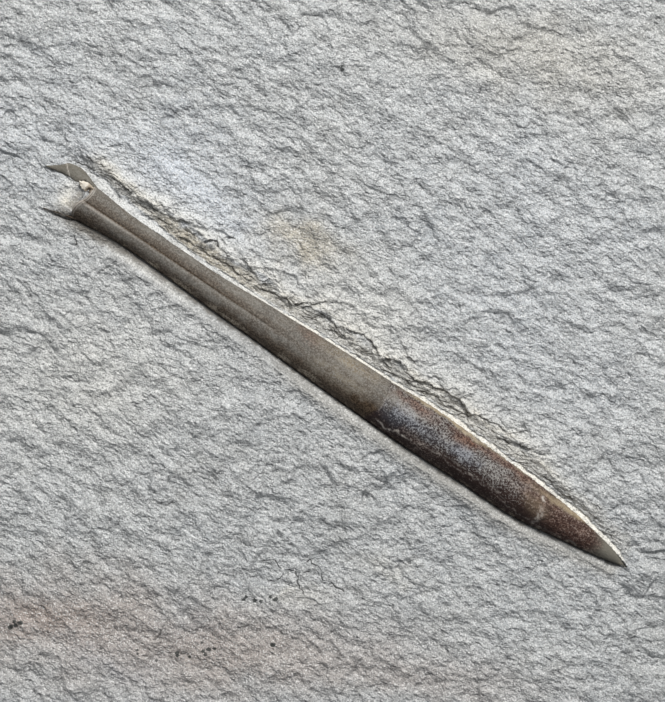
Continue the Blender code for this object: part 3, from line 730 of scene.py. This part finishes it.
# Thin dark strokes along the edges of the laminae on the shelf: painted shadow lines, also sunk a little in
# the bump.
leaves = (rock.math("FRACT", rock.mark("layer") + (grain - 0.5) * 0.5) - 0.5).near_zero(0.05, 0.2)
leaves = leaves * rock.mark("shelf") * rock.noise(1.7, 2.0, 0.6, place=bedded).between(0.47, 0.58)
colour = cloud.between(0.3, 0.7).tint((0.446, 0.468, 0.484), (0.472, 0.482, 0.479))
colour = layered(
    mottle.between(0.34, 0.66).tint(colour.scaled(0.86), (0.545, 0.56, 0.565)),
    (rock.mark("cool") * 0.45, (0.56, 0.6, 0.655)),
    (rock.mark("ochre") * (0.35 + 0.5 * mottle), (0.42, 0.36, 0.25)),
    (rock.mark("rose") * (0.45 + 0.5 * mottle), (0.35, 0.268, 0.222)),
    (rock.mark("pale") * (0.5 + 0.7 * mottle), (0.8, 0.768, 0.685)),
    # Painted shade along the guard's right flank and its groove, under the sliver, on the plug's slope and at
    # the foot of the chip edges.
    (rock.mark("painted_shade") * 0.85, (0.1, 0.088, 0.072)),
    # Painted shade: the low pits of the fine grain, which the bump also sinks, are darkened.
    ((1 - grain.between(0.28, 0.52)) * 0.5, (0.17, 0.165, 0.16)),
    ((1 - speck.between(0.3, 0.46)) * 0.75, (0.2, 0.2, 0.2)),
    (speck.between(0.54, 0.7) * (0.75 - 0.65 * rock.mark("painted_shade")), (0.76, 0.76, 0.75)),
    (crack * 0.85, (0.07, 0.07, 0.07)),
    (dark_grain * 0.9, (0.035, 0.04, 0.038)),
    # Painted shadow lines at the foot of the chip edges.
    (chip_line * broken.between(0.38, 0.54) * 0.85, (0.055, 0.048, 0.04)),
    # Painted shadow lines along the laminae on the shelf.
    (leaves * 0.75, (0.075, 0.066, 0.055)),
)
relief = (coarse * 2.4 + grain * 1.05 + ledges) * (1 - 0.68 * rock.mark("cut"))
relief = relief - 0.4 * crack - 0.25 * leaves
bump = rock.node("Bump", None, {"Height": relief, "Strength": 1.0, "Distance": 0.001})
set_surface(limestone, colour, 0.92, bump, specular=0.25)
for half in (top_bed_west, top_bed_east):
    half.data.materials.append(limestone)
    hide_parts("matrix_slab")
    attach(half, "root")

# The lower beds of the slab: the same limestone down to the flat parting that the slab rests on. They
# show only at the broken sides, as rough ledges.
LOWER_AROUND = 1100
LOWER_TOP = 10.45
LOWER_LEVELS = np.concatenate([[0.0], np.linspace(0.35, 10.4, 40), [LOWER_TOP]])
ring_angle, level = np.meshgrid(np.linspace(-np.pi, np.pi, LOWER_AROUND, endpoint=False), LOWER_LEVELS)
chamfer = 0.25 * ((level == 0) | (level == LOWER_TOP))
reach = slab_radius(ring_angle) + side_stand(ring_angle, level) - chamfer
rings = np.stack([reach * np.cos(ring_angle), reach * np.sin(ring_angle), level], -1)
points = np.concatenate([rings.reshape(-1, 3), [(0, 0, 0), (0, 0, LOWER_TOP)]])
lower_marks = {mark: np.full(len(points), UNMARKED) for mark in ("crack", "edge", "spot")}
lower_faces = tube_faces(len(LOWER_LEVELS), LOWER_AROUND, shift=1)
lower_beds = new_piece("lower_beds", points, lower_faces, lower_marks)
lower_beds.data.materials.append(limestone)
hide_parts("matrix_slab")
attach(lower_beds, "root")

# The dug strip of the top bed around the fossil, let into the bed as one closed block with much finer
# faces, because the chips, the ledges and the bank against the guard are small.
STRIP_CELLS = (760, 112)
STRIP_FLOOR = 15.5
s, t = np.meshgrid(np.linspace(0, 1, STRIP_CELLS[0]), np.linspace(0, 1, STRIP_CELLS[1]), indexing="ij")
along = STRIP_ENDS[0] + s * (STRIP_ENDS[1] - STRIP_ENDS[0])
out = strip_side(along, -1) * (1 - t) + strip_side(along, 1) * t
along = along + 0.4 * rough(out, along * 0 + 5, 7, 3, 0.6, 240) * (2 * s - 1)
x, y = to_row_frame(along, out)
z, dark, edge = rock_height(x, y)
cells_from_ends = np.minimum(s, 1 - s) * (STRIP_CELLS[0] - 1)
cells_in = np.minimum(cells_from_ends, np.minimum(t, 1 - t) * (STRIP_CELLS[1] - 1))
z = z + 0.02 - 0.07 * ramp(9, 2, cells_in) - 0.35 * ramp(2.2, 0, cells_in)
top = np.stack([x, y, z], -1)
foot = top.reshape(-1, 3)[grid_rim(*STRIP_CELLS)] * (1, 1, 0) + (0, 0, STRIP_FLOOR)
marks = rock_marks(x, y, dark, edge)
dug_strip = closed_block("dug_strip", top, [foot], foot.mean(0), marks, grid_normals(x, y, z))
dug_strip.data.materials.append(limestone)
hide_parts("matrix_slab")
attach(dug_strip, "root")

# The guard: a solid rod of radiating calcite fibres, spindle-shaped with a narrow neck and a furrow along
# the top. Its outer skin is smooth and grey-brown. Behind the hairline break it has flaked off, and the
# dark coarse-grained calcite under it shows, up to the smooth tip.
FURROW_END = 60.0
BREAK_AT = 72.0
TIP_AT = 124.3
# The right-hand border of the flaked part, and the scraps that cling to the right flank in front of it:
# where they lie, and how long they are.
FLAKE_FOOT = np.array([
    (70, -3.7), (74, -3.6), (76.5, -3.5), (78, -3.2), (81, -3.0), (84, -2.4), (88, -2.3), (92, -2.6),
    (98, -2.1), (102, -2.9), (110, -3.1), (118, -2.3), (124, -1.3),
])
SCRAPS = (
    (18.5, -2.75, 3), (26, -2.85, 5.5), (33.5, -3.1, 3), (38.5, -3.2, 6), (51, -3.4, 3.6),
    (56.5, -3.6, 4.4),
)
RINGS, AROUND = 690, 120
# Rings that line the hollow front, deepest first: how far each lies in front of the rim, or behind it
# where negative, and its size against the rim's.
HOLLOW = ((-3.4, 0.2), (-1.6, 0.42), (-0.3, 0.55), (0.34, 0.62), (0.28, 0.80))


def rim_forward(out):
    """How far forward the broken rim lies at a distance across: a flat S."""
    forward = (0.35, 0.7, 0.6, 0.2, -0.4, -0.6, -0.5, -0.1)
    return np.interp(out, (-4, -2.7, -1.5, -0.3, 0.9, 2.1, 3.3, 4), forward)


def past_break(along, out):
    """How far a place lies behind the hairline break, which runs further forward on the flanks."""
    return along - BREAK_AT - 0.4 + 0.09 * (out - 0.5) ** 2


def past_tip(along, out):
    """How far a place lies behind the front of the smooth tip, which runs further forward on the flanks."""
    return along - TIP_AT + 0.16 * out**2


def guard_skin(along, turn):
    """The guard's surface as distances across and up: an oval section between its edges, less the furrow
    and the flaked layer. Also returns the noises of its pits and of its ragged lines."""
    left, right = guard_edge(along, 1), guard_edge(along, 2)
    half, middle = np.maximum((left - right) / 2, 0.02), (left + right) / 2
    out = half * np.cos(turn)
    up = np.sin(turn) > 0
    groove = np.interp(out, (-0.6, -0.35, 0.1, 0.24, 0.36, 0.9, 1.7), (0, 0.05, 0.4, 0.42, 0.24, 0.12, 0))
    groove = groove * up * ramp(FURROW_END, 0.45 * FURROW_END, along)
    ragged = rough(along, out, 2.4, 3, 0.65, 300)
    foot = smooth_curve(FLAKE_FOOT, along) + 0.45 * ragged
    flaked = ramp(-0.1, 0.1, past_break(along, out) - 0.35 * ragged) * ramp(-0.12, 0.12, out - foot) * up
    flaked = flaked * ramp(1.4, -2.2, past_tip(along, out) + 0.3 * ragged)
    pits = rough(along, out, 0.95, 3, 0.7, 310)
    girth = turn * half
    skin = 0.05 * lattice_noise(along / 9, girth / 4, 320) + 0.012 * rough(along, girth, 0.8, 2, 0.6, 340)
    skin += 0.018 * lattice_noise(along / 5, girth / 0.45, 330)
    depth = groove + flaked * (0.09 + 0.13 * np.maximum(pits, -0.4)) - skin
    r = np.maximum(half - depth * ramp(0, 6, GUARD_LENGTH - along), 0.02)
    return middle + r * np.cos(turn), GUARD_FLATNESS * r * np.sin(turn), pits, ragged


s, t = np.meshgrid(np.linspace(0, 1, RINGS), np.arange(AROUND) / AROUND, indexing="ij")
turn = 2 * np.pi * t - np.pi / 2
along = GUARD_LENGTH * s**0.98
across, rise, pits, ragged = guard_skin(along, turn)
body_along = along - rim_forward(across) * ramp(5, 0, along)


def guard_points(along, across, rise):
    """Points over the guard's axis, which climbs a little towards the apex, in the row frame."""
    x, y = to_row_frame(along, across)
    climb = 0.3 * along / GUARD_LENGTH + 0.6 * ramp(112, 131, along)
    return np.stack([x, y, SLAB_TOP - AXIS_DEPTH + climb + rise], -1)


hollow = [
    guard_points(body_along[0] - forward, across[0] * size, rise[0] * size) for forward, size in HOLLOW
]
rings = np.concatenate([hollow, guard_points(body_along, across, rise)])
poles = guard_points(np.array([4.0, GUARD_LENGTH + 0.05]), np.array([0, 0.07]), np.zeros(2))
points = np.concatenate([rings.reshape(-1, 3), poles])


def ovals(along, out, *places):
    """Soft-edged oval patches on the guard, added up. Each has a strength, a middle and two radii."""
    total = 0
    for strength, middle, side, length, width in places:
        reach = ((along - middle) / length) ** 2 + ((out - side) / width) ** 2
        total = total + strength * np.exp(-(reach**1.4))
    return total


bent_along = along + 1.2 * ragged
bent_out = across + 0.5 * rough(along, across, 3.1, 3, 0.6, 350)


def blots(*places):
    """Oval patches with bent outlines."""
    return ovals(bent_along, bent_out, *places)


upper = np.sin(turn) > 0
unbroken = ramp(BREAK_AT - 0.5, BREAK_AT - 4.5, bent_along)
ochre = unbroken * blots((0.5, 63, -0.8, 8, 2.0), (0.9, 62, 3.3, 8.5, 1.2))
ochre += blots((0.8, 83, 4.9, 9, 0.5), (0.5, 98, 4.6, 14, 0.45))
ochre += blots((0.8, 117, 3.1, 9, 0.6), (0.2, 109, 0.2, 3, 1.8))
rust = blots(
    (1, 78, 3.4, 5, 1.0), (1, 89.5, 2.9, 3, 1.6), (1, 98, 3.7, 9, 0.8), (0.5, 53, 3.4, 2.5, 1.5),
    (0.7, 117, 0.8, 12, 3.0), (0.5, 107, 2.5, 5, 2.2),
)
umber = 0.9 * ramp(0.3, 2.4, -bent_out - 0.5) + blots((1, 70, -2.0, 3, 1.8))
furrow = ramp(FURROW_END, 0.5 * FURROW_END, along) * upper
# Along the furrow: painted shade as a dark line at the steep wall that faces away from the lamp, and a brown
# band on the gentle slope beyond it that is partly brown stain and partly painted shade.
umber += furrow * (bell(across, 0.24, 0.14) + 0.6 * ramp(0.2, 0.35, across) * ramp(2.1, 1.0, across))
frost = 0.62 * ramp(-2.2, 1.2, bent_out)
frost += blots((0.4, 91, 0.6, 2.6, 1.0), (0.55, 83, -2.2, 5, 1.8), (0.3, 76, 1.6, 4, 1.4))
frost = np.minimum(frost, 0.85) - 0.35 * ramp(103, 112, bent_along)
blue = blots((1, 91, 0.5, 4, 1.4), (1, 76, -0.6, 5, 2.4), (0.6, 83, 0, 4, 1.5))
past_foot = across - np.interp(along, *FLAKE_FOOT.T)
width = 0.1 + 0.07 * np.clip(pits + 0.4, 0, 1) * ramp(88, 80, along)
pale = bell(past_foot - 0.45 * ragged, 0, width) * ramp(71, 72, along) * (1 - 0.7 * ramp(80, 86, along))
pale += 0.5 * bell(past_foot + 0.5 * ragged, 0.7, 0.1) * ramp(86, 90, along) * ramp(106, 98, along)
pale *= np.clip(0.7 + 1.1 * pits, 0, 1)
break_line = bell(along + 0.07 * across - 0.1 * ragged, 72.3, 0.12)
pale += 0.3 * break_line * ramp(-2.2, -1, across) * ramp(4, 1, across)
pale += ovals(along + 0.5 * pits, across + 0.3 * (along - 109.3), (1.1, 109.3, 2.15, 0.55, 0.4))
pale_bar = ovals(along + 0.5 * pits, bent_out, (0.7, 110.6, -0.9, 0.75, 1.7))
pale += pale_bar * np.clip(0.6 + 1.4 * pits, 0, 1)
pale += 0.8 * bell(along, 0.05, 0.1) + 0.4 * bell(along, 0.42, 0.07)
pale += blots((0.15, 76, 1.8, 3, 0.9))
# A painted highlight: a pale band on the furrow's near wall, which faces the lamp, towards the rim.
pale += 0.34 * bell(across, -0.22, 0.26) * ramp(22, 3, along) * ramp(0.8, 1.4, along)
pale *= upper
scraps = np.zeros(along.shape)
for middle, side, length in SCRAPS:
    scrap = ovals(along + 0.8 * ragged, across + 0.3 * pits, (1, middle, side, length / 2, 0.48))
    scraps = np.maximum(scraps, scrap)
scraps += 0.55 * np.clip(pits + 0.1, 0, 1) * ramp(-0.75, -0.25, guard_edge(along, 2) - across) * upper
tip = ramp(-2.4, 1.8, past_tip(along, across) + 0.4 * ragged)
flaked = ramp(-0.5, 0.4, past_break(along, across) - 0.5 * ragged)
flaked = flaked * (1 - 0.75 * blots((1, 73.4, 2.4, 1.5, 2.6))) * (1 - 0.6 * tip)
# Each mark has its values on the skin, and one value all over the hollow front.
guard_marks = {
    "flaked": (flaked, 0), "ochre": (ochre, 0.6), "rust": (rust, 0), "umber": (umber, 0.4),
    "frost": (frost, 0), "blue": (blue, 0), "pale": (pale, 0.25), "scraps": (scraps, 0), "tip": (tip, 0),
}
for mark, (on_skin, in_front) in guard_marks.items():
    front_values = np.full(len(HOLLOW) * AROUND, in_front)
    guard_marks[mark] = np.concatenate([front_values, on_skin.ravel(), [in_front, 0]])
guard = new_piece("calcite_guard", points, tube_faces(len(rings), AROUND), guard_marks)
calcite, stone = new_finish("calcite")
place = stone.node("TexCoord", output="Object")
fibres = stone.node("Mapping", {"vector_type": "TEXTURE"}, {
    "Vector": place, "Rotation": (0.0, 0.0, HEADING), "Scale": (3.2, 1.0, 1.0),
})
streak = stone.noise(0.9, 3.0, 0.65, place=fibres)
fleck = stone.noise(0.36, 2.0, 0.75)
patchy = stone.noise(4.5, 3.0, 0.6)
flank = fleck.between(0.36, 0.68).tint((0.026, 0.017, 0.01), (0.11, 0.078, 0.052))
skin = layered(
    patchy.between(0.35, 0.65).tint((0.092, 0.084, 0.074), (0.138, 0.129, 0.114)),
    (stone.mark("ochre") * (0.15 + 1.2 * patchy), (0.235, 0.19, 0.125)),
    (streak.between(0.38, 0.62) * 0.75, (0.078, 0.063, 0.05)),
    (fleck.between(0.4, 0.68) * (0.6 + 0.3 * stone.mark("ochre")), (0.25, 0.238, 0.215)),
    (stone.mark("umber") * 0.9, flank),
)
bright = (stone.mark("blue") * 0.8).tint((0.24, 0.233, 0.222), (0.225, 0.236, 0.262))
bright = (stone.mark("umber") * 0.7).tint(bright, (0.12, 0.075, 0.055))
grit = fleck + 0.2 * (stone.mark("frost") - 0.6) + 0.25 * (patchy - 0.5) + 0.3 * (streak - 0.5)
pore = (stone.mark("blue") * 0.9).tint((0.026, 0.015, 0.013), (0.032, 0.032, 0.039))
core = grit.between(0.39, 0.67).tint(pore, bright.scaled(1.15))
rusty = (fleck + 0.3 * (streak - 0.5)).between(0.36, 0.66).tint((0.036, 0.017, 0.013), (0.18, 0.104, 0.075))
scrap = fleck.between(0.38, 0.6).tint((0.12, 0.095, 0.07), (0.5, 0.44, 0.35))
colour = layered(
    skin,
    (stone.mark("flaked"), core),
    (stone.mark("rust") * (0.35 + 0.8 * streak), rusty),
    (stone.mark("ochre") * stone.mark("flaked") * (0.4 + 0.7 * streak), (0.4, 0.325, 0.215)),
    (stone.mark("tip") * 0.85, (0.135, 0.13, 0.108)),
    (stone.mark("scraps") * (0.3 + 0.9 * streak), scrap),
    (stone.mark("pale") * 0.85, (0.52, 0.48, 0.435)),
)
shine = 0.62 + 0.22 * streak + 0.2 * stone.mark("scraps")
relief = 0.3 * streak + fleck * (0.2 + stone.mark("flaked") * 0.55)
bump = stone.node("Bump", None, {"Height": relief, "Strength": 0.9, "Distance": 0.0003})
set_surface(calcite, colour, shine, bump, specular=0.15)
guard.data.materials.append(calcite)
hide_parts("guard")
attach(guard, "root")

# The spurs: what is left of the thin alveolar wall in front of the rim. The left one is a broad leaf,
# cracked across, and the right one a thin sliver. Both lie on the sediment. A station is a distance along,
# the two edges there and the height of the crest.
SPURS = {
    "left_wall_leaf": (
        (2.2, 3.15, 3.65, 1.0), (0.9, 3.3, 3.95, 1.5), (-0.1, 3.4, 4.25, 1.7), (-1.1, 3.45, 4.65, 1.75),
        (-2.1, 3.4, 4.95, 1.7), (-2.6, 2.8, 5.1, 1.7), (-3.1, 2.35, 5.2, 1.65), (-4.0, 2.35, 5.35, 1.6),
        (-5.0, 2.4, 5.3, 1.6), (-6.0, 2.35, 5.05, 1.55), (-6.9, 2.25, 4.7, 1.55), (-7.4, 2.1, 4.1, 1.5),
        (-8.0, 2.0, 3.6, 1.45), (-9.0, 1.8, 2.8, 1.35), (-9.6, 1.75, 2.35, 1.25), (-10.2, 1.7, 1.95, 1.0),
    ),
    "right_wall_sliver": (
        (1.2, -3.75, -3.3, 1.25), (-0.6, -4.25, -3.85, 1.3), (-2.4, -4.7, -4.3, 1.3),
        (-4.0, -5.1, -4.75, 1.2), (-5.9, -5.6, -5.4, 0.95),
    ),
}
SPUR_RINGS, SPUR_AROUND = 60, 24
for name, stations in SPURS.items():
    table = np.array(stations)[::-1]
    s, t = np.meshgrid(np.linspace(0, 1, SPUR_RINGS), np.arange(SPUR_AROUND) / SPUR_AROUND, indexing="ij")
    along = table[0, 0] + s * (table[-1, 0] - table[0, 0])
    low, high, crest = (smooth_curve(table, along, column) for column in (1, 2, 3))
    jag = 0.1 * rough(along, t * 0 + low * 3, 0.9, 3, 0.6, 400)
    turn = 2 * np.pi * t
    out = (low + high) / 2 + ((high - low) / 2 + jag * np.sign(high - low)) * np.cos(turn)
    wave = 0.12 * rough(along, out, 1.8, 3, 0.6, 410) - 0.5 * (out - low) / (high - low) * (high > 0)
    up = np.sin(turn)
    rise = np.where(up > 0, crest + wave, -1.6) * np.abs(up) ** 0.45
    ends = [(along[k, 0] + step, out[k].mean(), rise[k].mean()) for k, step in ((0, -0.05), (-1, 0.05))]
    skin_points = guard_points(along, out, rise).reshape(-1, 3)
    points = np.concatenate([skin_points, guard_points(*np.array(ends).T)])
    top_side = (up > 0.25).astype(float)
    if name == "right_wall_sliver":
        # The sliver is painted dark all over, a little less on top: painted shade for the shadowed gap
        # between its wall and the rock.
        spur_marks = {"umber": 1 - 0.15 * top_side}
    else:
        leaf_crack = bell(along + 1.13 * (out - 2.7) + jag, -5.0, 0.13) * top_side
        spur_marks = {"umber": 0.3 * ramp(-5.5, -7, along), "pale": 0.9 * leaf_crack, "tip": 0.6 * top_side}
    for mark, values in spur_marks.items():
        spur_marks[mark] = np.concatenate([values.ravel(), [0, 0]])
    spur = new_piece(name, points, tube_faces(SPUR_RINGS, SPUR_AROUND), spur_marks)
    spur.data.materials.append(calcite)
    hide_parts("guard")
    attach(spur, "root")

# The lump: a rounded crumb of cream sediment caught between the leaf and the rim.
LUMP_RINGS, LUMP_AROUND = 38, 60
tilts, turns = np.linspace(np.pi, 0, LUMP_RINGS + 2), np.arange(LUMP_AROUND) / LUMP_AROUND * 2 * np.pi
s, t = np.meshgrid(tilts, turns, indexing="ij")
bulge = 1 + 0.2 * rough(4 * np.sin(s) * np.cos(t), 4 * np.sin(s) * np.sin(t), 2.1, 3, 0.65, 420)
along = -1.1 + 1.6 * np.sin(s) * np.cos(t) * bulge
out = 2.85 + 0.85 * np.sin(s) * np.sin(t) * (1 + 0.3 * np.cos(t)) * bulge
# A pit in the crumb's top, dented in, whose inside is painted near-black: painted shade in the pit.
hole = np.exp(-((along + 0.15) ** 2 + (out - 2.62) ** 2) / 0.24)
rise = 1.95 + 0.5 * np.cos(s) * bulge - 0.12 * np.cos(t) * np.sin(s) - 0.35 * hole * (s < 1.6)


def with_poles(rows):
    """The rows without the first and the last, and then one value for each of those two, the poles."""
    return np.concatenate([rows[1:-1].reshape(-1, *rows.shape[2:]), rows[:1, 0], rows[-1:, 0]])


points = with_poles(guard_points(along, out, rise))
lump_marks = {"brown": with_poles(ramp(-1.2, -0.6, along)), "hole": with_poles(hole)}
lump = new_piece("sediment_lump", points, tube_faces(LUMP_RINGS, LUMP_AROUND, shift=1), lump_marks)
cream_sediment, crumb = new_finish("cream_sediment")
crumbly = crumb.noise(0.7, 3.0, 0.65)
brown = crumbly.between(0.35, 0.65).tint((0.13, 0.095, 0.06), (0.4, 0.33, 0.25))
colour = layered(
    crumbly.between(0.35, 0.65).tint((0.5, 0.45, 0.38), (0.68, 0.64, 0.57)),
    (crumb.mark("brown") * 0.8, brown),
    # Painted shade in the pit.
    (crumb.mark("hole"), (0.03, 0.02, 0.015)),
)
bump = crumb.node("Bump", None, {"Height": crumbly, "Strength": 0.5, "Distance": 0.0005})
set_surface(cream_sediment, colour, 0.9, bump, specular=0.25)
lump.data.materials.append(cream_sediment)
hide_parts("matrix_slab")
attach(lump, "root")

# The table it lies on: a plain pale sheet.
bpy.ops.mesh.primitive_plane_add(size=6, location=(0, 0, -0.0002))
table_top = bpy.context.object
table_top.name = "table_top"
matt = new_finish("pale_matt")[0]
set_surface(matt, (0.72, 0.72, 0.71, 1), 0.7)
table_top.data.materials.append(matt)

# The light: one soft lamp beyond the slab's upper edge, halfway up, which rakes across the bedding, and
# pale surroundings that fill the shadows.
world = bpy.data.worlds.new("studio")
bpy.context.scene.world = world
world.use_nodes = True
world.node_tree.nodes["Background"].inputs["Color"].default_value = (0.93, 0.96, 1.0, 1)
world.node_tree.nodes["Background"].inputs["Strength"].default_value = 0.3
lamp_data = bpy.data.lights.new("soft_lamp", "AREA")
lamp_data.shape = "DISK"
lamp_data.size = 0.32
lamp_data.energy = 13.4
lamp_data.color = (1.0, 0.985, 0.96)
lamp = bpy.data.objects.new("soft_lamp", lamp_data)
bpy.context.scene.collection.objects.link(lamp)
azimuth, elevation = math.radians(76), math.radians(46)
level = math.cos(elevation)
aim = Vector((math.cos(azimuth) * level, math.sin(azimuth) * level, math.sin(elevation)))
lamp.location = aim + Vector((0, 0, SLAB_TOP * MM))
lamp.rotation_euler = aim.to_track_quat("Z", "Y").to_euler()

# The camera looks straight down on the bedding surface.
camera_data = bpy.data.cameras.new("camera")
VIEW_WIDTH = 0.1404
distance = 0.62
camera_data.sensor_width = 36
camera_data.lens = camera_data.sensor_width * distance / VIEW_WIDTH
camera = bpy.data.objects.new("camera", camera_data)
camera.location = (0, 0, SLAB_TOP * MM + distance)
bpy.context.scene.collection.objects.link(camera)
bpy.context.scene.camera = camera
bpy.context.scene.view_settings.view_transform = "Standard"
